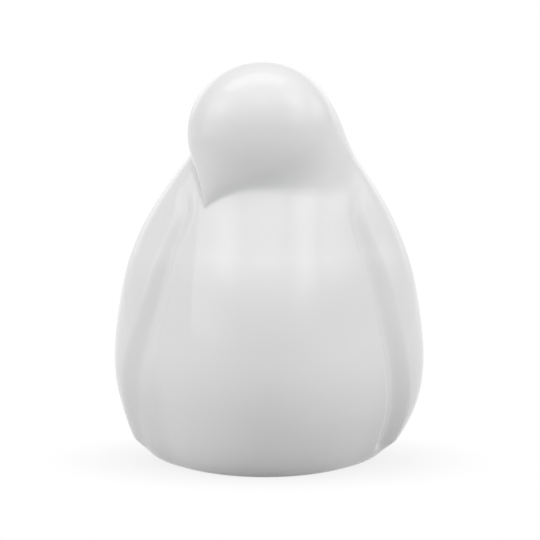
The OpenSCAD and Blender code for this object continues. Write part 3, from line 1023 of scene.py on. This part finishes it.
def soft_box(name, bearing, elevation, distance, size, glow, fades, round_face=False, turn=0.0):
    """Area lamp that faces the bird, its power being pi times area times the brightness glow.

    Bearing and elevation are in degrees, distance and size in metres. Fades are the shares of
    the face over which the glow dies away at its left, right, lower and upper edge; a round
    face takes the first of them all round. Turn is the angle of the face about its own axis.
    """
    lamp = bpy.data.lights.new(name, "AREA")
    lamp.shape = "ELLIPSE" if round_face else "RECTANGLE"
    lamp.size, lamp.size_y = size
    lamp.energy = glow * np.pi * size[0] * size[1] * (np.pi / 4 if round_face else 1.0)
    lamp.use_nodes = True
    tree = lamp.node_tree
    tree.nodes.clear()
    shine = add_node(tree, "ShaderNodeEmission", {"Strength": face_level(tree, fades, round_face)})
    add_node(tree, "ShaderNodeOutputLight", {"Surface": shine.outputs["Emission"]})
    az, el = np.radians(bearing), np.radians(elevation)
    away = Vector((np.sin(az) * np.cos(el), -np.cos(az) * np.cos(el), np.sin(el)))
    thing = bpy.data.objects.new(name, lamp)
    bpy.context.scene.collection.objects.link(thing)
    thing.location = HEART + distance * away
    spin = Quaternion((0.0, 0.0, 1.0), np.radians(turn))
    thing.rotation_euler = (away.to_track_quat("Z", "Y") @ spin).to_euler()
    print(name, "at", np.round(thing.location, 2), "m,", round(lamp.energy, 2), "W")


soft_box("overhead_panel", -146.0, 75.0, 0.95, (1.05, 0.4), 0.7, SHARP, turn=-34.0)
soft_box("front_fill", 0.0, 60.0, 1.2, (1.2, 0.7), 0.35, SOFT)
soft_box("left_panel", -72.0, 27.0, 0.9, (1.12, 1.0), 0.68, (0.0, 0.8, 0.15, 0.5))
soft_box("left_lamp", -79.0, 36.0, 0.9, (0.7, 0.7), 0.9, (1.0,), True)
soft_box("left_top", -100.0, 66.0, 0.9, (0.7, 0.6), 0.25, SOFT)
soft_box("right_lamp", 72.0, 47.0, 0.9, (0.75, 0.75), 1.5, (1.0,), True)
soft_box("right_fill", 62.0, 24.0, 0.9, (0.8, 0.6), 0.85, (0.4, 0.4, 0.6, 0.4))
soft_box("right_panel", 105.0, 24.0, 0.9, (0.8, 0.6), 0.9, (0.4, 0.4, 0.6, 0.4))

# %% [markdown]
# ## Room and floor
#
# Between the lamps the glaze mirrors the room: pale at the horizon, and above it of one level in
# front of the bird and of another behind it. A photographed room would do too, but a few smooth
# steps are easier to set. The floor is white to the eye, and by the foot it shows a share of the
# bird's true shadow. A plain white sheet would turn grey away from the lamps.

# %% Room
HORIZON = 0.85
# Direction in Y at which the change starts and ends, level in front and level behind.
ROOM_LOW = 0.7, 0.86, 0.59, 1.15
ROOM_HIGH = 0.1, 0.6, 0.98, 0.42
# Direction in Z over which the horizon passes into the low room, and that into the high room.
LOW_BAND = 0.0, 0.16
HIGH_BAND = 0.2, 0.6


def pale_room():
    """Grey-white surround; low and high up it goes from one level in front to another behind."""
    world = bpy.data.worlds.new("pale_room")
    world.use_nodes = True
    tree = world.node_tree
    tree.nodes.clear()
    view = add_node(tree, "ShaderNodeTexCoord", {}).outputs["Generated"]
    axis = add_node(tree, "ShaderNodeSeparateXYZ", {0: view}).outputs
    low = smooth(tree, axis["Y"], *ROOM_LOW)
    high = smooth(tree, axis["Y"], *ROOM_HIGH)
    level = smooth(tree, axis["Z"], *LOW_BAND, HORIZON, low)
    level = smooth(tree, axis["Z"], *HIGH_BAND, level, high)
    air = add_node(tree, "ShaderNodeBackground", {"Color": (1, 1, 1, 1), "Strength": level})
    add_node(tree, "ShaderNodeOutputWorld", {"Surface": air.outputs[0]})
    return world


bpy.context.scene.world = pale_room()
print("room:", bpy.context.scene.world.name, "with", HORIZON, "at the horizon")

# %% Floor
FLOOR_R = 12.0
N_FLOOR = 96
# Share of plain white by the foot, and the distance in metres over which it grows to all white.
FOOT_WHITE = 0.85
SHADOW_BAND = 0.024, 0.06


def pale_floor():
    """Floor paint: plain white to the eye, with a share of the bird's true shadow near the foot."""
    finish, tree = new_finish("white_floor")
    place = add_node(tree, "ShaderNodeTexCoord", {}).outputs["Object"]
    away = add_node(tree, "ShaderNodeVectorMath", {0: place}, operation="LENGTH").outputs["Value"]
    far = smooth(tree, away, *SHADOW_BAND, FOOT_WHITE, 1.0)
    path = add_node(tree, "ShaderNodeLightPath", {}).outputs
    mirrored = reckon(tree, "MAXIMUM", path["Is Glossy Ray"], path["Is Transmission Ray"])
    seen = reckon(tree, "MULTIPLY", far, reckon(tree, "MAXIMUM", path["Is Camera Ray"], mirrored))
    matte = add_node(tree, "ShaderNodeBsdfDiffuse", {"Color": colour("B4B4B4")}).outputs[0]
    glow = {"Color": (1, 1, 1, 1), "Strength": 1.0}
    white = add_node(tree, "ShaderNodeEmission", glow).outputs[0]
    both = add_node(tree, "ShaderNodeMixShader", {0: seen, 1: matte, 2: white}).outputs[0]
    add_node(tree, "ShaderNodeOutputMaterial", {"Surface": both})
    return finish


angle = np.linspace(0.0, 2 * np.pi, N_FLOOR, endpoint=False)
edge = FLOOR_R * np.stack([np.cos(angle), np.sin(angle), 0 * angle], -1)
floor_mesh = bpy.data.meshes.new("floor")
floor_mesh.from_pydata(edge, [], [list(range(N_FLOOR))])
floor = bpy.data.objects.new("floor", floor_mesh)
floor_mesh.materials.append(pale_floor())
bpy.context.scene.collection.objects.link(floor)
print("floor:", N_FLOOR, "corners at", FLOOR_R, "m")

# %% [markdown]
# ## View transform
#
# The standard view transform keeps the whites as they are lit, where a filmic one would grey
# them.

bpy.context.scene.view_settings.view_transform = "Standard"
